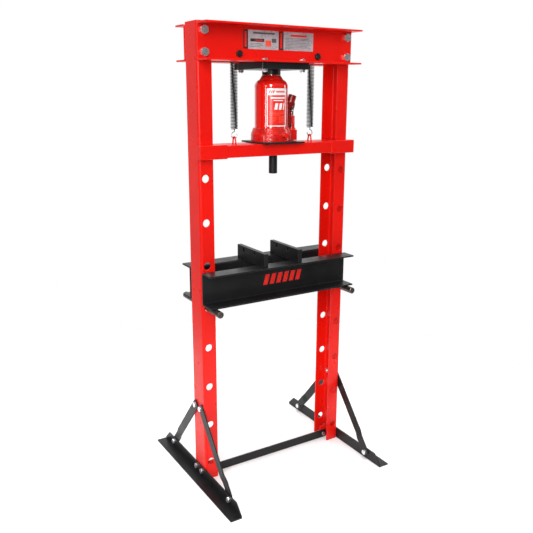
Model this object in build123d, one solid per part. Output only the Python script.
from build123d import *
import math
import os

# Hydraulic shop press of the bottle jack type, its bed about halfway up.
# Millimetres. X to the right, Y to the back, Z up.
# Origin: on the floor, in the middle of the feet.

# ---- frame ----
frame_width = 570.0
frame_height = 1510.0
upright_depth = 85.0
upright_flange = 48.0
upright_wall = 5.0
bend_radius = 8.0
foot_length = 593.0
foot_leg = 40.0
foot_wall = 4.0
head_height = 108.0
head_flange = 63.0
head_wall = 5.0
head_drop = 5.0
head_bolt = 16.0
head_bolt_inset = 20.7
head_bolt_low_row = 24.0
head_bolt_high_row = 86.5

# ---- pins, and their holes in the uprights ----
pin_diameter = 22.0
pin_length = 262.0
pin_end_chamfer = 1.5
pin_hole_play = 3.0
pin_hole_pitch = 140.0
pin_hole_first = 66.0
pin_hole_count = 8
pin_hole_inset = 21.7
bed_hole_number = 5

# ---- bed ----
bed_height = 110.0
bed_flange = 60.0
bed_wall = 5.0
bed_spacer_height = 60.0
bed_spacer_wall = 8.0
bed_plate_length = 180.0
bed_plate_height = 47.0
bed_plate_thickness = 15.0
bed_plate_y = -8.0
bed_plate_hole = 15.0
bed_plate_hole_drop = 12.5
bed_plate_notch = 8.0
bed_plate_steps = (0.24, 0.64)
left_plate_x = -76.0
right_plate_x = 58.0

# ---- press beam ----
beam_height = 38.0
main_tube_wall = 4.0
main_tube_end_gap = 4.0
front_tube_depth = 22.0
front_tube_wall = 3.0
beam_overhang = 7.0
sleeve_wall = 2.5
sleeve_length = 93.0
sleeve_overhang = 2.0
beam_spacer_width = 30.0
ram_diameter = 28.0
ram_stem = 24.0
ram_reach = 63.0
ram_y = -14.0
ram_chamfer = 1.5
socket_wall = 3.0

# ---- return springs ----
spring_x = 146.0
spring_diameter = 24.0
spring_wire = 2.4
spring_bottom_rise = 44.0
spring_top_drop = 22.0
hook_radius = 10.0
hook_sweep = 290.0
hook_stem = 6.0
loop_rod = 5.0
loop_spread = 20.0
loop_bend = 4.5
hanger_bolt = 12.0
hanger_bolt_rise = 23.0

# ---- head plate that the jack pushes against ----
head_plate_width = 178.0
head_plate_thickness = 20.0
head_plate_margin = 47.5
head_plate_corner = 6.0
head_plate_bolt = 10.0
head_plate_bolt_x = 70.0
head_plate_bolt_offset = 32.5
ring_outer = 60.0
ring_height = 16.0

# ---- bottle jack ----
jack_height = 225.0
jack_body_diameter = 109.0
jack_shell_wall = 3.0
jack_plate_thickness = 5.0
jack_plate_half_width = 75.0
jack_plate_front = 89.0
jack_plate_back = 65.0
jack_base_height = 42.0
jack_foot_height = 22.0
jack_base_taper = 21.0
jack_base_corner = 60.0
jack_base_extra_width = 23.0
jack_base_extra_depth = 17.0
jack_floor = 28.0
jack_seat_depth = 4.0
shoulder_height = 27.0
jack_lid_margin = 0.5
jack_lid_lap = 3.0
jack_nut_diameter = 80.0
jack_nut_top = 60.0
jack_nut_flats = 70.0
jack_nut_flange = 4.0
jack_nut_height = 14.0
jack_nut_drop = 17.0
piston_diameter = 46.0
piston_length = 170.0
piston_foot = 14.0
piston_rim = 2.0
cylinder_outer = 60.0
screw_diameter = 30.0
saddle_diameter = 46.0
saddle_height = 13.0
seal_start = 4.0
seal_width = 6.0
seal_depth = 4.0
filler_diameter = 10.0
filler_drop = 48.0
filler_length = 8.0
filler_head = 14.0
filler_head_height = 2.8

# ---- hand pump ----
pump_stand_off = 27.5
pump_outer = 20.0
pump_height = 80.0
pump_boss_width = 34.0
pump_boss_height = 34.0
pump_boss_rise = 6.0
pump_boss_wall = 3.0
plunger_diameter = 11.0
plunger_foot = 24.0
plunger_neck = 10.0
plunger_neck_width = 10.0
eye_width = 8.8
eye_wall = 2.5
lever_arm = 14.0
fulcrum_height = 102.0
link_foot_height = 48.0
link_thickness = 3.6
link_width = 12.0
pivot_pin = 7.0
pin_head_wall = 1.5
pin_head_height = 2.0
pump_half_angle = 29.0
cheek_thickness = 3.8
cheek_eye_wall = 3.5
cheek_edge = 6.0
cheek_reach = 24.0
cheek_half_width = 11.0
handle_rise = 70.0
handle_outer = 27.0
handle_bore = 20.0
handle_start = 19.5
handle_floor = 6.0
handle_end = 46.0
oil_passage = 5.0
oil_well = 7.0
oil_passage_rise = 9.0

# ---- release valve ----
valve_x = 12.0
valve_height = 20.0
valve_shank = 10.0
valve_length = 32.0
valve_boss = 18.0
valve_boss_length = 16.0
valve_knob = 16.0
valve_knob_start = 2.0
valve_knob_end = 14.0
valve_wing_span = 24.0
valve_wing_height = 6.0
valve_wing = (12.0, 5.0)

# ---- braces, tie bar ----
brace_width = 32.0
brace_thickness = 4.0
brace_top_y = 20.0
brace_top_z = 262.0
brace_foot_y = 218.0
brace_end_lap = 12.0
brace_corner = 9.0
foot_bolt = 10.0
foot_bolt_y = 21.0
foot_bolt_z = 25.0
tie_bar_height = 30.0
tie_bar_thickness = 4.0
tie_bar_clearance = 1.0
tie_tab_height = 46.0
tie_face = -9.0
tie_bolt = 8.0
tie_bolt_offset = 4.0
tie_bolt_margin = 12.0

# ---- fastener proportions, as multiples of the thread ----
hex_flats = {8.0: 13.0, 10.0: 17.0, 12.0: 19.0, 16.0: 24.0}
bolt_head_ratio = 0.64
nut_ratio = 0.8
washer_ratio = 1.6
washer_height_ratio = 0.15

# ---- clearances ----
slide_gap = 1.0
side_gap = 2.0
contact_gap = 0.3
hole_gap = 0.5
running_gap = 0.05
thread_gap = 0.05

# ---- levels and faces worked out from the sizes above ----
half_width = frame_width / 2
half_depth = upright_depth / 2
flange_edge = half_width - upright_flange
pin_x = half_width - pin_hole_inset
bed_pin_z = pin_hole_first + pin_hole_pitch * (bed_hole_number - 1)
bed_bottom = bed_pin_z + pin_diameter / 2 + contact_gap
bed_top = bed_bottom + bed_height
web_face = half_depth + slide_gap
head_bottom = frame_height - head_drop - head_height
head_bolt_rows = (head_bottom + head_bolt_low_row, head_bottom + head_bolt_high_row)
head_plate_depth = 2 * (half_depth + head_plate_margin)
head_plate_bolt_y = half_depth + head_plate_bolt_offset
plate_bottom = head_bottom - head_plate_thickness
hanger_z = head_bottom + hanger_bolt_rise
jack_z = plate_bottom - jack_height
beam_top = jack_z - jack_plate_thickness
beam_bottom = beam_top - beam_height
main_tube_face = half_depth - upright_wall - slide_gap
front_tube_near = web_face + sleeve_wall
front_tube_far = front_tube_near + front_tube_depth
coil_bottom = beam_top + spring_bottom_rise
coil_top = hanger_z - spring_top_drop
low_hook_z = coil_bottom - hook_radius - hook_stem
high_hook_z = hanger_z + hanger_bolt / 2 + contact_gap - hook_radius + spring_wire / 2
loop_top_z = low_hook_z - hook_radius + spring_wire / 2 + contact_gap + loop_rod / 2
jack_radius = jack_body_diameter / 2
jack_base_width = jack_body_diameter + jack_base_extra_width
jack_base_depth = jack_body_diameter + jack_base_extra_depth
nut_top = plate_bottom - jack_nut_drop
nut_bottom = nut_top - jack_nut_height
screw_top = plate_bottom - contact_gap
piston_low = nut_top - piston_length
cylinder_bore = piston_diameter + 2 * running_gap
pump_x = jack_radius + pump_stand_off
pump_top = jack_z + pump_height
fulcrum_x = pump_x - lever_arm
fulcrum_z = jack_z + fulcrum_height
link_foot_z = jack_z + link_foot_height
plunger_pin_z = fulcrum_z + lever_arm * math.tan(math.radians(pump_half_angle))
cheek_offset = eye_width / 2 + 4 * running_gap
link_offset = cheek_offset + cheek_thickness + 4 * running_gap
pivot_bore = pivot_pin + 2 * running_gap
valve_z = jack_z + valve_height
foot_bolt_hole = foot_bolt + 2 * hole_gap
tie_bolt_x = flange_edge + tie_bolt_offset
tie_bolt_z = tie_bar_clearance + tie_bar_height / 2


def block(x, y, z):
    """Box between two limits on each axis."""
    size = (x[1] - x[0], y[1] - y[0], z[1] - z[0])
    centre = ((x[0] + x[1]) / 2, (y[0] + y[1]) / 2, (z[0] + z[1]) / 2)
    return Pos(*centre) * Box(*size)


def rod(start, end, diameter):
    """Round bar from start to end."""
    path = Vector(*end) - Vector(*start)
    base = (Align.CENTER, Align.CENTER, Align.MIN)
    return Plane(origin=start, z_dir=path) * Cylinder(diameter / 2, path.length, align=base)


def hexagon(start, end, flats):
    """Hexagonal bar from start to end, its corners chamfered at the end."""
    path = Vector(*end) - Vector(*start)
    across_corners = flats / math.cos(math.pi / 6)
    plane = Plane(origin=start, z_dir=path)
    bar = extrude(plane * RegularPolygon(flats / 2, 6, major_radius=False), amount=path.length)
    turned = rod(start, end, across_corners)
    rim = turned.faces().filter_by(GeomType.PLANE)
    far_edge = max(rim, key=lambda face: (face.center() - Vector(*start)).length).edges()
    turned = chamfer(far_edge, (across_corners - flats) / 2 * 0.9)
    return bar & turned


def along(point, direction, distance):
    """Point moved along a direction."""
    return tuple(p + d * distance for p, d in zip(point, direction))


def bolt(seat, direction, diameter, length):
    """Hex bolt: the head stands on the seat and the shank runs along the direction."""
    head_height_here = bolt_head_ratio * diameter
    head = hexagon(seat, along(seat, direction, -head_height_here), hex_flats[diameter])
    shank = rod(along(seat, direction, -head_height_here / 2), along(seat, direction, length), diameter)
    return head + shank


def nut(seat, direction, diameter):
    """Hex nut on the seat, growing along the direction."""
    end = along(seat, direction, nut_ratio * diameter)
    body = hexagon(seat, end, hex_flats[diameter])
    bore = rod(along(seat, direction, -1), along(end, direction, 1), diameter + 2 * thread_gap)
    return body - bore


def washer(seat, direction, diameter):
    """Flat washer on the seat."""
    end = along(seat, direction, washer_height_ratio * diameter)
    bore = rod(along(seat, direction, -1), along(end, direction, 1), diameter + 2 * hole_gap)
    return rod(seat, end, washer_ratio * diameter) - bore


def channel(web, flange, wall, length):
    """Bent channel along +Z: back of the web on X = 0, flanges towards +X."""
    outer = Pos(flange, 0) * RectangleRounded(2 * flange, web, bend_radius)
    inner = Pos(flange + wall, 0) * RectangleRounded(2 * flange, web - 2 * wall, bend_radius - wall)
    section = (outer - inner) & (Pos(flange / 2, 0) * Rectangle(flange, web))
    return extrude(section, amount=length)


def side_channel(side, face, level, web, flange, wall, length):
    """Channel along X on the front (-1) or back (+1), flanges pointing away from the frame."""
    start = (-length / 2, side * face, level + web / 2)
    plane = Plane(origin=start, x_dir=(0, side, 0), z_dir=(1, 0, 0))
    return plane * channel(web, flange, wall, length)


def tube(x, y, z, wall):
    """Rectangular tube along X between two limits on each axis."""
    origin = (x[0], (y[0] + y[1]) / 2, (z[0] + z[1]) / 2)
    plane = Plane(origin=origin, x_dir=(0, 1, 0), z_dir=(1, 0, 0))
    depth = y[1] - y[0]
    height = z[1] - z[0]
    section = RectangleRounded(depth, height, wall)
    section -= RectangleRounded(depth - 2 * wall, height - 2 * wall, wall / 2)
    return plane * extrude(section, amount=x[1] - x[0])


# ---------------------------------------------------------------- frame

def upright(side):
    """C channel with its web outside and a row of pin holes through both flanges."""
    body = channel(upright_depth, upright_flange, upright_wall, frame_height)
    body = Pos(side * half_width, 0, 0) * Rot(0, 0, 90 + 90 * side) * body
    pin_hole = pin_diameter + pin_hole_play
    for row in range(pin_hole_count):
        z = pin_hole_first + row * pin_hole_pitch
        body -= rod((side * pin_x, -upright_depth, z), (side * pin_x, upright_depth, z), pin_hole)
    bolt_x = side * (half_width - head_bolt_inset)
    for z in head_bolt_rows:
        body -= rod((bolt_x, -upright_depth, z), (bolt_x, upright_depth, z), head_bolt + 2 * hole_gap)
    for y, z in [(-foot_bolt_y, foot_bolt_z), (foot_bolt_y, foot_bolt_z),
                 (-brace_top_y, brace_top_z), (brace_top_y, brace_top_z)]:
        inside = side * (half_width - 2 * upright_wall)
        outside = side * (half_width + upright_wall)
        body -= rod((inside, y, z), (outside, y, z), foot_bolt_hole)
    return body


def head_channel(side):
    """Top cross channel with end bolt holes, hanger bolt holes and head plate bolt holes."""
    body = side_channel(side, half_depth, head_bottom, head_height, head_flange, head_wall, frame_width)
    near = side * (half_depth - head_wall)
    far = side * (half_depth + 2 * head_wall)
    for x in (-half_width + head_bolt_inset, half_width - head_bolt_inset):
        for z in head_bolt_rows:
            body -= rod((x, near, z), (x, far, z), head_bolt + 2 * hole_gap)
    for x in (-spring_x, spring_x):
        body -= rod((x, near, hanger_z), (x, far, hanger_z), hanger_bolt + 2 * hole_gap)
    for x in (-head_plate_bolt_x, head_plate_bolt_x):
        low = (x, side * head_plate_bolt_y, head_bottom - head_wall)
        body -= rod(low, along(low, (0, 0, 1), 3 * head_wall), head_plate_bolt + 2 * hole_gap)
    return body


def head_bolt_places():
    """Seat and direction of each bolt that holds a head channel to an upright flange."""
    seat = half_depth + head_wall
    x_places = (-half_width + head_bolt_inset, half_width - head_bolt_inset)
    corners = [(side, x, z) for side in (-1, 1) for x in x_places for z in head_bolt_rows]
    return [((x, side * seat, z), (0, -side, 0)) for side, x, z in corners]


def head_fasteners():
    """Bolts, washers and nuts of the head joints."""
    grip = head_wall + upright_wall
    washer_height = washer_height_ratio * head_bolt
    shank = grip + washer_height + head_bolt
    places = head_bolt_places()
    bolts = [bolt(seat, way, head_bolt, shank) for seat, way in places]
    washers = [washer(along(seat, way, grip), way, head_bolt) for seat, way in places]
    nuts = [nut(along(seat, way, grip + washer_height), way, head_bolt) for seat, way in places]
    return bolts, washers, nuts


def hanger_fasteners():
    """Long bolts through both head channels, which the return springs hang from."""
    seat = half_depth + head_wall
    back = (0, 1, 0)
    length = 2 * seat + hanger_bolt
    bolts = [bolt((x, -seat, hanger_z), back, hanger_bolt, length) for x in (-spring_x, spring_x)]
    nuts = [nut((x, seat, hanger_z), back, hanger_bolt) for x in (-spring_x, spring_x)]
    return bolts, nuts


def head_plate_places():
    """Bolt centres of the head plate."""
    x_places = (-head_plate_bolt_x, head_plate_bolt_x)
    y_places = (-head_plate_bolt_y, head_plate_bolt_y)
    return [(x, y) for x in x_places for y in y_places]


def head_plate():
    """Thick plate under the head that takes the thrust of the jack."""
    x = (-head_plate_width / 2, head_plate_width / 2)
    y = (-head_plate_depth / 2, head_plate_depth / 2)
    body = block(x, y, (plate_bottom, head_bottom))
    body = fillet(body.edges().filter_by(Axis.Z), head_plate_corner)
    for x, y in head_plate_places():
        body -= rod((x, y, plate_bottom - 1), (x, y, head_bottom + 1), head_plate_bolt + 2 * hole_gap)
    return body


def head_plate_fasteners():
    """Bolts down through the head flanges and the head plate, with nuts below."""
    grip = head_wall + head_plate_thickness
    down = (0, 0, -1)
    seats = [(x, y, head_bottom + head_wall) for x, y in head_plate_places()]
    bolts = [bolt(seat, down, head_plate_bolt, grip + head_plate_bolt) for seat in seats]
    nuts = [nut(along(seat, down, grip), down, head_plate_bolt) for seat in seats]
    return bolts, nuts


def head_ring():
    """Ring under the head plate that keeps the jack saddle centred."""
    low = (0, 0, plate_bottom - ring_height)
    high = (0, 0, plate_bottom)
    bore = rod(along(low, (0, 0, -1), 1), along(high, (0, 0, 1), 1), saddle_diameter + 2 * slide_gap)
    return rod(low, high, ring_outer) - bore


def foot(side):
    """Angle iron: one leg against the upright, one leg flat on the floor pointing outwards."""
    outer = Rectangle(foot_leg, foot_leg, align=(Align.MIN, Align.MIN))
    inner = Pos(foot_wall, foot_wall) * Rectangle(foot_leg, foot_leg, align=(Align.MIN, Align.MIN))
    section = outer - inner
    start = (side * half_width, side * foot_length / 2, 0)
    plane = Plane(origin=start, x_dir=(side, 0, 0), z_dir=(0, -side, 0))
    body = plane * extrude(section, amount=foot_length)
    slope = foot_leg - 2 * foot_wall
    for end in (-1, 1):
        tip = end * foot_length / 2
        corner = Polyline((tip, foot_leg), (tip - end * slope, foot_leg), (tip, 2 * foot_wall), close=True)
        cutter = Plane(origin=(-frame_width, 0, 0), x_dir=(0, 1, 0), z_dir=(1, 0, 0)) * make_face(corner)
        body -= extrude(cutter, amount=2 * frame_width)
    for y in (-brace_foot_y, -foot_bolt_y, foot_bolt_y, brace_foot_y):
        near = (side * (half_width - foot_wall), y, foot_bolt_z)
        far = (side * (half_width + 2 * foot_wall), y, foot_bolt_z)
        body -= rod(near, far, foot_bolt_hole)
    return body


def brace_frame(side, end):
    """Plane of a brace: x runs up the brace from its foot bolt, z points outwards."""
    origin = Vector(side * half_width, end * brace_foot_y, foot_bolt_z)
    top = Vector(side * half_width, end * brace_top_y, brace_top_z)
    return Plane(origin=origin, x_dir=top - origin, z_dir=(side, 0, 0)), (top - origin).length


def brace(side, end):
    """Flat bar from the foot to the upright, cranked by its own thickness just above the foot."""
    plane, reach = brace_frame(side, end)
    rise = (brace_top_z - foot_bolt_z) / reach
    run = (brace_foot_y - brace_top_y) / reach
    crank = (foot_leg - foot_bolt_z + brace_width / 2 / run) / rise + side_gap
    crank_end = crank + 6 * brace_thickness
    t = brace_thickness
    tip = reach + brace_end_lap
    profile = Polyline((-brace_end_lap, -t), (crank, -t), (crank_end, 0), (tip, 0), (tip, t),
                       (crank_end, t), (crank, 0), (-brace_end_lap, 0), close=True)
    sheet = Plane(origin=(0, brace_width / 2, 0), x_dir=(1, 0, 0), z_dir=(0, -1, 0))
    body = plane * extrude(sheet * make_face(profile), amount=brace_width)
    outline = Pos(reach / 2, 0) * RectangleRounded(tip + brace_end_lap, brace_width, brace_corner)
    body &= plane * extrude(outline, amount=2 * t, both=True)
    x = (-frame_width, frame_width)
    body -= block(x, sorted((0, -end * foot_length)), (0, frame_height))
    body -= block(x, (-foot_length, foot_length), (-foot_leg, foot_wall + side_gap))
    for distance in (0, reach):
        centre = plane.from_local_coords(Vector(distance, 0, 0))
        near = (centre.X - 3 * t, centre.Y, centre.Z)
        far = (centre.X + 3 * t, centre.Y, centre.Z)
        body -= rod(near, far, foot_bolt_hole)
    return body


def base_fasteners():
    """Bolts and nuts of the braces and feet; the rear foot bolts also hold the tie bar tabs."""
    joints = []
    for side in (-1, 1):
        for end in (-1, 1):
            tab = tie_bar_thickness if end > 0 else 0
            brace_x = half_width + brace_thickness
            foot_x = half_width + foot_wall
            joints.append((side, brace_x, end * brace_top_y, brace_top_z, brace_thickness + upright_wall))
            joints.append((side, foot_x, end * brace_foot_y, foot_bolt_z, foot_wall + brace_thickness))
            joints.append((side, foot_x, end * foot_bolt_y, foot_bolt_z, foot_wall + upright_wall + tab))
    bolts = []
    nuts = []
    for side, x, y, z, grip in joints:
        inward = (-side, 0, 0)
        seat = (side * x, y, z)
        bolts.append(bolt(seat, inward, foot_bolt, grip + foot_bolt))
        nuts.append(nut(along(seat, inward, grip), inward, foot_bolt))
    return bolts, nuts


def tie_bar():
    """Flat bar on edge that joins the bottoms of the uprights."""
    half = tie_bolt_x + tie_bolt_margin
    front = tie_face - tie_bar_thickness
    body = block((-half, half), (front, tie_face), (tie_bar_clearance, tie_bar_clearance + tie_bar_height))
    for x in (-tie_bolt_x, tie_bolt_x):
        start = (x, front - tie_bar_thickness, tie_bolt_z)
        body -= rod(start, along(start, (0, 1, 0), 3 * tie_bar_thickness), tie_bolt + 2 * hole_gap)
    return body


def tie_tab(side):
    """Angle tab between the tie bar and the web of an upright."""
    web = half_width - upright_wall
    t = tie_bar_thickness
    z = (tie_bar_clearance, tie_bar_clearance + tie_tab_height)
    back = main_tube_face - t
    body = block(sorted((side * (web - t), side * web)), (tie_face, back), z)
    body += block(sorted((side * (tie_bolt_x - tie_bolt_margin), side * web)), (tie_face, tie_face + t), z)
    start = (side * (web - 2 * t), foot_bolt_y, foot_bolt_z)
    body -= rod(start, (side * half_width, foot_bolt_y, foot_bolt_z), foot_bolt_hole)
    low = (side * tie_bolt_x, tie_face - 2 * t, tie_bolt_z)
    body -= rod(low, along(low, (0, 1, 0), 4 * t), tie_bolt + 2 * hole_gap)
    return body


def tie_fasteners():
    """Small bolts and nuts between the tie bar and its tabs."""
    seats = [(x, tie_face - tie_bar_thickness, tie_bolt_z) for x in (-tie_bolt_x, tie_bolt_x)]
    back = (0, 1, 0)
    grip = 2 * tie_bar_thickness
    bolts = [bolt(seat, back, tie_bolt, grip + tie_bolt) for seat in seats]
    nuts = [nut(along(seat, back, grip), back, tie_bolt) for seat in seats]
    return bolts, nuts


def hook(centre, start_angle, side):
    """Round wire hook: part of a ring in the XZ plane, mirrored from side to side."""
    ring = CenterArc((0, 0, 0), hook_radius, start_angle, -side * hook_sweep)
    path = Plane(origin=centre, x_dir=(1, 0, 0), z_dir=(0, -1, 0)) * ring
    profile = Plane(origin=path @ 0, z_dir=path % 0) * Circle(spring_wire / 2)
    return sweep(profile, path=path)


def return_spring(side):
    """Extension spring envelope: a plain sleeve for the coils, with a wire hook at each end."""
    x = side * spring_x
    body = rod((x, ram_y, coil_bottom), (x, ram_y, coil_top), spring_diameter)
    hollow = (x, ram_y, coil_bottom + spring_wire)
    body -= rod(hollow, (x, ram_y, coil_top - spring_wire), spring_diameter - 2 * spring_wire)
    body += hook((x, ram_y, low_hook_z), 90, side)
    body += hook((x, ram_y, high_hook_z), 270, side)
    body += rod((x, ram_y, low_hook_z + hook_radius), (x, ram_y, coil_bottom + 1), spring_wire)
    body += rod((x, ram_y, coil_top - 1), (x, ram_y, high_hook_z - hook_radius), spring_wire)
    return body


# ---------------------------------------------------------------- bed

def bed_channel(side):
    """Long bed channel, web towards the uprights, flanges pointing away."""
    return side_channel(side, web_face, bed_bottom, bed_height, bed_flange, bed_wall, frame_width)


def bed_spacer(side):
    """Plate between the bed channels just inside an upright."""
    outer = flange_edge - side_gap
    return block(sorted((side * (outer - bed_spacer_wall), side * outer)), (-web_face, web_face),
                 (bed_bottom + bed_wall, bed_bottom + bed_wall + bed_spacer_height))


def bed_pin(side):
    """Round pin through an upright, under both bed channels, with chamfered ends."""
    x = side * pin_x
    body = rod((x, -pin_length / 2, bed_pin_z), (x, pin_length / 2, bed_pin_z), pin_diameter)
    return chamfer(body.edges().filter_by(GeomType.CIRCLE), pin_end_chamfer)


def bed_plate(x):
    """Flat bar on edge across the bed, with two holes and two notches in its lower edge."""
    y = (bed_plate_y - bed_plate_length / 2, bed_plate_y + bed_plate_length / 2)
    half = bed_plate_thickness / 2
    body = block((x - half, x + half), y, (bed_top, bed_top + bed_plate_height))
    near = x - bed_plate_thickness
    far = x + bed_plate_thickness
    hole_z = bed_top + bed_plate_height - bed_plate_hole_drop
    for step in bed_plate_steps:
        centre = y[1] - step * bed_plate_length
        body -= rod((near, centre, hole_z), (far, centre, hole_z), bed_plate_hole)
        body -= rod((near, centre, bed_top), (far, centre, bed_top), bed_plate_notch)
    return body


# ---------------------------------------------------------------- press beam

def beam_main_tube():
    """Rectangular tube that runs from one upright to the other inside their channels."""
    half = half_width - upright_wall - main_tube_end_gap
    body = tube((-half, half), (-main_tube_face, main_tube_face), (beam_bottom, beam_top), main_tube_wall)
    socket = ram_diameter + 2 * socket_wall
    return body - rod((0, ram_y, beam_bottom - 1), (0, ram_y, beam_top + 1), socket)


def beam_front_tube():
    """Flat rectangular tube that runs across the front faces of the uprights."""
    half = half_width + beam_overhang
    return tube((-half, half), (-front_tube_far, -front_tube_near), (beam_bottom, beam_top), front_tube_wall)


def beam_sleeve(side):
    """Sleeve on one end of the front tube, which rubs on the upright's front face."""
    end = half_width + beam_overhang + sleeve_overhang
    x = sorted((side * (end - sleeve_length), side * end))
    y = (-front_tube_far - sleeve_wall, -web_face)
    return tube(x, y, (beam_bottom - sleeve_wall, beam_top + sleeve_wall), sleeve_wall)


def beam_end_cap(side):
    """Small plate welded inside the sleeve that closes one end of the front tube."""
    end = half_width + beam_overhang
    low_x = min(side * end, side * (end + sleeve_overhang))
    middle = (low_x, -(front_tube_near + front_tube_far) / 2, (beam_bottom + beam_top) / 2)
    section = RectangleRounded(front_tube_depth, beam_height, front_tube_wall)
    return Plane(origin=middle, x_dir=(0, 1, 0), z_dir=(1, 0, 0)) * extrude(section, amount=sleeve_overhang)


def beam_spacers():
    """Blocks that join the two tubes: one beside each upright's flange and one in the middle."""
    outer = flange_edge - side_gap
    z = (beam_bottom, beam_top)
    half = beam_spacer_width / 2
    blocks = [block((-half, half), (-front_tube_near, -main_tube_face), z)]
    for side in (-1, 1):
        x = sorted((side * (outer - beam_spacer_width), side * outer))
        blocks.append(block(x, (-web_face, -main_tube_face), z))
    return blocks


def ram_socket():
    """Thick round sleeve through the main tube that holds the ram."""
    low = (0, ram_y, beam_bottom)
    high = (0, ram_y, beam_top)
    bore = rod(along(low, (0, 0, -1), 1), along(high, (0, 0, 1), 1), ram_stem + 2 * running_gap)
    return rod(low, high, ram_diameter + 2 * socket_wall) - bore


def ram():
    """Round pressing nose under the beam, with a thinner stem in the socket."""
    nose = rod((0, ram_y, beam_bottom - ram_reach), (0, ram_y, beam_bottom), ram_diameter)
    nose = chamfer(nose.edges().filter_by(GeomType.CIRCLE), ram_chamfer)
    return nose + rod((0, ram_y, beam_bottom - ram_chamfer), (0, ram_y, beam_top - slide_gap), ram_stem)


def spring_loop(side):
    """Bent rod, an upside-down V, welded on the main tube for the spring hook."""
    x = side * spring_x
    foot_half = loop_spread / 2
    top_half = loop_bend + 1
    path = FilletPolyline((x, ram_y - foot_half, beam_top), (x, ram_y - top_half, loop_top_z),
                          (x, ram_y + top_half, loop_top_z), (x, ram_y + foot_half, beam_top),
                          radius=loop_bend)
    profile = Plane(origin=path @ 0, z_dir=path % 0) * Circle(loop_rod / 2)
    body = sweep(profile, path=path)
    reach = loop_spread + loop_rod
    return body - block((x - reach, x + reach), (ram_y - reach, ram_y + reach), (beam_bottom, beam_top))


# ---------------------------------------------------------------- bottle jack

def jack_plate():
    """Thin plate on the beam that the jack stands on."""
    x = (-jack_plate_half_width, jack_plate_half_width)
    return block(x, (-jack_plate_front, jack_plate_back), (beam_top, jack_z))


def oil_passages():
    """Drillings in the base from the pump to the pressure cylinder."""
    low = jack_z + oil_passage_rise
    floor = jack_z + jack_floor + 1
    cross = rod((0, 0, low), (pump_x, 0, low), oil_passage)
    foot = low - oil_well / 2
    return cross + rod((pump_x, 0, foot), (pump_x, 0, floor), oil_well) + rod((0, 0, foot), (0, 0, floor), oil_well)


def jack_base():
    """Cast base: straight-walled foot, slope up to the tank, pump boss on the right, oil passages."""
    outline = RectangleRounded(jack_base_width, jack_base_depth, jack_base_corner)
    body = extrude(Pos(0, 0, jack_z) * outline, amount=jack_foot_height)
    slope_height = jack_base_height - jack_foot_height
    slope_base = Pos(0, 0, jack_z + jack_foot_height) * outline
    body += extrude(slope_base, amount=slope_height, taper=jack_base_taper)
    boss_end = pump_x + pump_outer / 2
    boss_y = (-pump_boss_width / 2, pump_boss_width / 2)
    body += block((0, boss_end), boss_y, (jack_z, jack_z + pump_boss_height))
    lug = (fulcrum_x - link_width / 2, fulcrum_x + link_width / 2)
    lug_half = link_offset - running_gap
    body += block(lug, (-lug_half, lug_half), (jack_z, link_foot_z + link_width / 2))
    boss_top = (pump_x, 0, jack_z + pump_boss_height + pump_boss_rise)
    body += rod((pump_x, 0, jack_z), boss_top, pump_outer + 2 * pump_boss_wall)
    mouth = -jack_base_depth / 2
    body += rod((valve_x, mouth + valve_boss_length, valve_z), (valve_x, mouth, valve_z), valve_boss)
    tank_inside = jack_body_diameter - 2 * jack_shell_wall
    body -= rod((0, 0, jack_z + jack_floor), (0, 0, link_foot_z + jack_floor), tank_inside)
    seat_z = jack_z + jack_base_height - jack_seat_depth
    body -= rod((0, 0, seat_z), (0, 0, link_foot_z + jack_floor), jack_body_diameter)
    body -= rod((fulcrum_x, -pump_x, link_foot_z), (fulcrum_x, pump_x, link_foot_z), pivot_bore)
    body -= rod((pump_x, 0, jack_z + jack_floor), (pump_x, 0, pump_top), pump_outer)
    body -= oil_passages()
    valve_end = (valve_x, mouth + valve_length + slide_gap, valve_z)
    return body - rod((valve_x, 2 * mouth, valve_z), valve_end, valve_shank + 2 * running_gap)


def jack_reservoir():
    """Oil tank shell: straight wall, rounded shoulder and a flat lid with the cylinder's hole."""
    wall = jack_shell_wall
    inner = jack_radius - wall
    low = jack_z + jack_base_height - jack_seat_depth
    shoulder = nut_bottom - shoulder_height
    lid = jack_nut_diameter / 2 + jack_lid_margin
    shoulder_width = jack_radius - lid
    hole = jack_nut_diameter / 2 - jack_lid_lap
    bulge = math.sqrt(0.5)
    outer_middle = (lid + bulge * shoulder_width, shoulder + bulge * shoulder_height)
    inner_middle = (lid - wall + bulge * shoulder_width, shoulder + bulge * (shoulder_height - wall))
    outline = [
        Polyline((inner, shoulder), (inner, low), (jack_radius, low), (jack_radius, shoulder)),
        ThreePointArc((jack_radius, shoulder), outer_middle, (lid, nut_bottom)),
        Polyline((lid, nut_bottom), (hole, nut_bottom), (hole, nut_bottom - wall),
                 (lid - wall, nut_bottom - wall)),
        ThreePointArc((lid - wall, nut_bottom - wall), inner_middle, (inner, shoulder)),
    ]
    edges = [edge for line in outline for edge in line.edges()]
    shell = revolve(make_face(Plane.XZ * Wire(edges)), axis=Axis.Z)
    filler = (0, inner - wall, nut_bottom - filler_drop)
    return shell - rod(filler, along(filler, (0, 1, 0), 3 * wall), filler_diameter)


def jack_cylinder():
    """Pressure cylinder inside the reservoir."""
    low = (0, 0, jack_z + jack_floor)
    high = (0, 0, nut_bottom)
    return rod(low, high, cylinder_outer) - rod(low, along(high, (0, 0, 1), 1), cylinder_bore)


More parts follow.
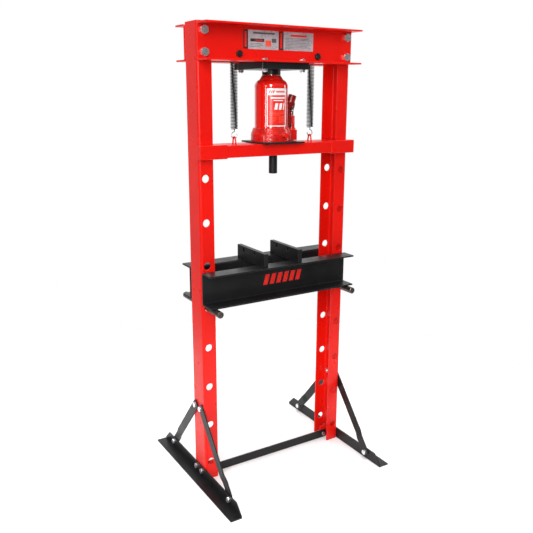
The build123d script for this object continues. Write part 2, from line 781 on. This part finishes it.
def jack_top_nut():
    """Large nut, tapered to its top, that closes the reservoir round the piston."""
    low = (0, 0, nut_bottom)
    high = (0, 0, nut_top)
    base = (Align.CENTER, Align.CENTER, Align.MIN)
    taper = Pos(0, 0, nut_bottom) * Cone(jack_nut_diameter / 2, jack_nut_top / 2, jack_nut_height, align=base)
    flange = rod(low, along(low, (0, 0, 1), jack_nut_flange), jack_nut_diameter)
    body = taper & (hexagon(low, high, jack_nut_flats) + flange)
    return body - rod(along(low, (0, 0, -1), 1), along(high, (0, 0, 1), 1), cylinder_bore)


def seal_ring():
    """Space taken by the piston seal."""
    low = (0, 0, piston_low + seal_start)
    high = along(low, (0, 0, 1), seal_width)
    return rod(low, high, piston_diameter) - rod(low, high, piston_diameter - 2 * seal_depth)


def jack_piston():
    """Hollow piston rod with a seal groove near its foot."""
    body = rod((0, 0, piston_low), (0, 0, nut_top + piston_rim), piston_diameter)
    bore_low = (0, 0, piston_low + piston_foot)
    body -= rod(bore_low, (0, 0, nut_top + 2 * piston_rim), screw_diameter + 2 * running_gap)
    return body - seal_ring()


def extension_screw():
    """Screw inside the piston with the saddle on its top."""
    low = (0, 0, piston_low + piston_foot + slide_gap)
    body = rod(low, (0, 0, screw_top - saddle_height / 2), screw_diameter)
    return body + rod((0, 0, screw_top - saddle_height), (0, 0, screw_top), saddle_diameter)


def pump_cylinder():
    """Small pump barrel on the boss."""
    low = (pump_x, 0, jack_z + jack_floor)
    high = (pump_x, 0, pump_top)
    bore = plunger_diameter + 2 * running_gap
    return rod(low, high, pump_outer) - rod(along(low, (0, 0, 1), pump_outer / 4), along(high, (0, 0, 1), 1), bore)


def pump_plunger():
    """Plunger with a flat neck and an eye at its top."""
    z = plunger_pin_z
    half = eye_width / 2
    neck_x = (pump_x - plunger_neck_width / 2, pump_x + plunger_neck_width / 2)
    body = rod((pump_x, 0, jack_z + jack_floor + plunger_foot), (pump_x, 0, z - plunger_neck), plunger_diameter)
    body += block(neck_x, (-half, half), (z - plunger_neck, z))
    body += rod((pump_x, -half, z), (pump_x, half, z), pivot_pin + 2 * eye_wall)
    return body - rod((pump_x, -eye_width, z), (pump_x, eye_width, z), pivot_bore)


def plunger_pin():
    """Pin that joins the plunger to the lever cheeks."""
    reach = cheek_offset + cheek_thickness
    return rod((pump_x, -reach, plunger_pin_z), (pump_x, reach, plunger_pin_z), pivot_pin)


def link(side):
    """Link from the base lug to the lever fulcrum."""
    y = sorted((side * link_offset, side * (link_offset + link_thickness)))
    half = link_width / 2
    levels = (link_foot_z, fulcrum_z)
    body = block((fulcrum_x - half, fulcrum_x + half), y, levels)
    for z in levels:
        body += rod((fulcrum_x, y[0], z), (fulcrum_x, y[1], z), link_width)
    for z in levels:
        body -= rod((fulcrum_x, y[0] - 1, z), (fulcrum_x, y[1] + 1, z), pivot_bore)
    return body


def link_pins():
    """Headed pins at both ends of the links."""
    reach = link_offset + link_thickness + contact_gap
    pins = []
    for z in (link_foot_z, fulcrum_z):
        pin = rod((fulcrum_x, -reach, z), (fulcrum_x, reach, z), pivot_pin)
        for side in (-1, 1):
            start = (fulcrum_x, side * reach, z)
            pin += rod(start, along(start, (0, side, 0), pin_head_height), pivot_pin + 2 * pin_head_wall)
        pins.append(pin)
    return pins


def lever_cheek(side, way, slot_end):
    """Side plate of the lever, from the fulcrum eye to the handle socket."""
    inner = side * cheek_offset
    outer = side * (cheek_offset + cheek_thickness)
    plane = Plane(origin=(fulcrum_x, min(inner, outer), fulcrum_z), x_dir=(1, 0, 0), z_dir=(0, -1, 0))
    top_x = way[0] * cheek_reach
    top_z = way[2] * cheek_reach
    outline = Polygon((-pivot_pin, 0), (slot_end[0] + cheek_edge / 2, slot_end[1] - cheek_edge),
                      (slot_end[0] + cheek_edge, slot_end[1] + cheek_edge),
                      (top_x + cheek_half_width, top_z), (top_x - cheek_half_width, top_z), align=None)
    eye = rod((fulcrum_x, inner, fulcrum_z), (fulcrum_x, outer, fulcrum_z), pivot_pin + 2 * cheek_eye_wall)
    return eye + extrude(plane * outline, amount=-cheek_thickness)


def handle_socket():
    """Pump lever: a socket for the handle, with two cheeks that straddle the plunger eye."""
    rise = math.radians(handle_rise)
    way = (math.cos(rise), 0, math.sin(rise))
    pivot = (fulcrum_x, 0, fulcrum_z)
    slope = math.radians(pump_half_angle)
    slot_near = lever_arm - hole_gap
    slot_far = lever_arm / math.cos(slope) + hole_gap
    slot_end = (slot_far * math.cos(slope), slot_far * math.sin(slope))
    body = rod(along(pivot, way, handle_start), along(pivot, way, handle_end), handle_outer)
    for side in (-1, 1):
        body += lever_cheek(side, way, slot_end)
    body -= rod(along(pivot, way, handle_start + handle_floor), along(pivot, way, handle_end + 1), handle_bore)
    reach = cheek_offset + cheek_thickness + 1
    body -= rod((fulcrum_x, -reach, fulcrum_z), (fulcrum_x, reach, fulcrum_z), pivot_bore)
    slot_width = pivot_pin + 2 * hole_gap
    slot_way = (math.cos(slope), 0, math.sin(slope))
    for distance in (slot_near, slot_far):
        centre = along(pivot, slot_way, distance)
        body -= rod(along(centre, (0, -1, 0), reach), along(centre, (0, 1, 0), reach), slot_width)
    middle = along(pivot, slot_way, (slot_near + slot_far) / 2)
    slot = Plane(origin=middle, x_dir=slot_way, z_dir=(0, -1, 0))
    return body - slot * Box(slot_far - slot_near, slot_width, 2 * reach)


def release_valve():
    """Needle valve with a lobed knob for the slotted end of the handle."""
    mouth = -jack_base_depth / 2
    tip = mouth - valve_knob_end
    body = rod((valve_x, tip / 2 + mouth / 2, valve_z), (valve_x, mouth + valve_length, valve_z), valve_shank)
    body += rod((valve_x, tip, valve_z), (valve_x, mouth - valve_knob_start, valve_z), valve_knob)
    x = (valve_x - valve_wing_span / 2, valve_x + valve_wing_span / 2)
    z = (valve_z - valve_wing_height / 2, valve_z + valve_wing_height / 2)
    return body + block(x, (mouth - valve_wing[0], mouth - valve_wing[1]), z)


def filler_plug():
    """Rubber plug in the back of the oil tank."""
    back = (0, 1, 0)
    stem = (0, jack_radius - filler_length, nut_bottom - filler_drop)
    rim = (0, jack_radius + contact_gap, nut_bottom - filler_drop)
    return rod(stem, rim, filler_diameter) + rod(rim, along(rim, back, filler_head_height), filler_head)


def write(node, *solids):
    """Save one node as a STEP file."""
    pieces = [piece for solid in solids for piece in solid.solids()]
    export_step(Compound(children=pieces) if len(pieces) > 1 else pieces[0], f"parts/{node}.step")


def main():
    os.makedirs("parts", exist_ok=True)
    sides = (("left", -1), ("right", 1))
    faces = (("front", -1), ("back", 1))
    for name, side in sides:
        write(f"{name}_upright", upright(side))
        write(f"{name}_foot", foot(side))
        write(f"{name}_spring", return_spring(side))
        write(f"{name}_bed_pin", bed_pin(side))
        for face, end in faces:
            write(f"{name}_{face}_brace", brace(side, end))
    write("left_bed_plate", bed_plate(left_plate_x))
    write("right_bed_plate", bed_plate(right_plate_x))
    for name, side in faces:
        write(f"head_{name}_channel", head_channel(side))
        write(f"bed_{name}_channel", bed_channel(side))
    bolts, washers, nuts = head_fasteners()
    write("head_bolts", *bolts)
    write("head_washers", *washers)
    write("head_nuts", *nuts)
    for name, (bolts, nuts) in (("hanger", hanger_fasteners()), ("head_plate", head_plate_fasteners()),
                                ("base", base_fasteners()), ("tie", tie_fasteners())):
        write(f"{name}_bolts", *bolts)
        write(f"{name}_nuts", *nuts)
    write("head_plate", head_plate())
    write("head_ring", head_ring())
    write("tie_bar", tie_bar())
    write("tie_tabs", tie_tab(-1), tie_tab(1))
    write("beam_main_tube", beam_main_tube())
    write("beam_front_tube", beam_front_tube())
    write("beam_sleeves", beam_sleeve(-1), beam_sleeve(1))
    write("beam_end_caps", beam_end_cap(-1), beam_end_cap(1))
    write("beam_spacers", *beam_spacers())
    write("bed_spacers", bed_spacer(-1), bed_spacer(1))
    write("ram_socket", ram_socket())
    write("press_ram", ram())
    write("spring_loops", spring_loop(-1), spring_loop(1))
    write("jack_base_plate", jack_plate())
    write("jack_base", jack_base())
    write("jack_reservoir", jack_reservoir())
    write("jack_cylinder", jack_cylinder())
    write("jack_top_nut", jack_top_nut())
    write("jack_piston", jack_piston())
    write("piston_seal", seal_ring())
    write("extension_screw", extension_screw())
    write("pump_cylinder", pump_cylinder())
    write("pump_plunger", pump_plunger())
    write("plunger_pin", plunger_pin())
    write("pump_links", link(-1), link(1))
    write("link_pins", *link_pins())
    write("handle_socket", handle_socket())
    write("release_valve", release_valve())
    write("filler_plug", filler_plug())


main()
